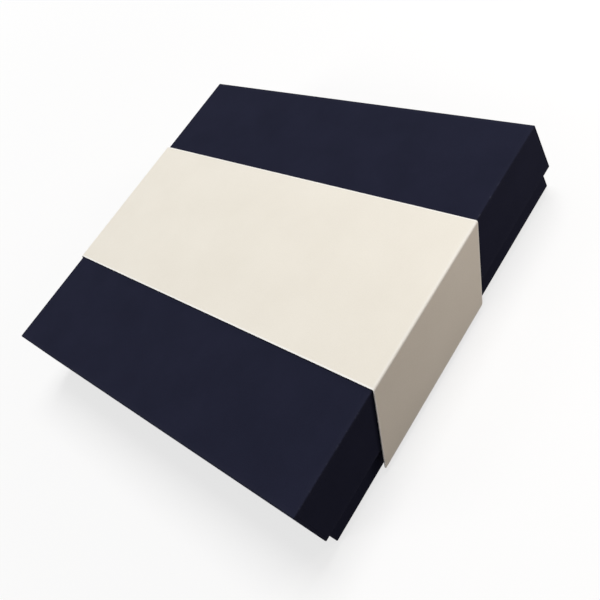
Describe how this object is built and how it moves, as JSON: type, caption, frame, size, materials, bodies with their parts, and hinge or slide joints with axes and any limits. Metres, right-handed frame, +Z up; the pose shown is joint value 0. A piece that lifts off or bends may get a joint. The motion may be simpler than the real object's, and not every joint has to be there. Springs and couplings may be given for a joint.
{
  "type": "presentation box",
  "caption": "Low rigid presentation box with a lift-off lid, covered in matt navy paper, with a cream card band over the lid that slides off along the box.",
  "frame": {"origin": "on the table, below the middle of the closed box", "axes": "+X along the longer side, towards the panel of the band that the picture shows; +Y to the back; +Z up"},
  "size_m": [0.222, 0.196, 0.0407],
  "materials": {
    "navy_paper": "matte",
    "cream_card": "matte",
    "ivory_liner": "matte",
    "greyboard": "matte",
    "stay_tape": "matte"
  },
  "bodies": {
    "base": {"base_floor_board": "greyboard", "base_front_board": "greyboard", "base_back_board": "greyboard", "base_left_board": "greyboard", "base_right_board": "greyboard", "base_corner_stays": "stay_tape", "base_wrap": "navy_paper", "base_bottom_paper": "navy_paper", "base_floor_liner": "ivory_liner"},
    "lid": {"lid_top_board": "greyboard", "lid_front_board": "greyboard", "lid_back_board": "greyboard", "lid_left_board": "greyboard", "lid_right_board": "greyboard", "lid_corner_stays": "stay_tape", "lid_wrap": "navy_paper", "lid_liner": "ivory_liner"},
    "band": {"band": "cream_card"}
  },
  "joints": [
    {"name": "lid_lift", "type": "slide", "parent": "base", "child": "lid", "axis": [0, 0, 1], "range_m": [0, 0.06]},
    {"name": "band_slide", "type": "slide", "parent": "lid", "child": "band", "axis": [0, 1, 0], "range_m": [-0.15, 0.168]}
  ]
}
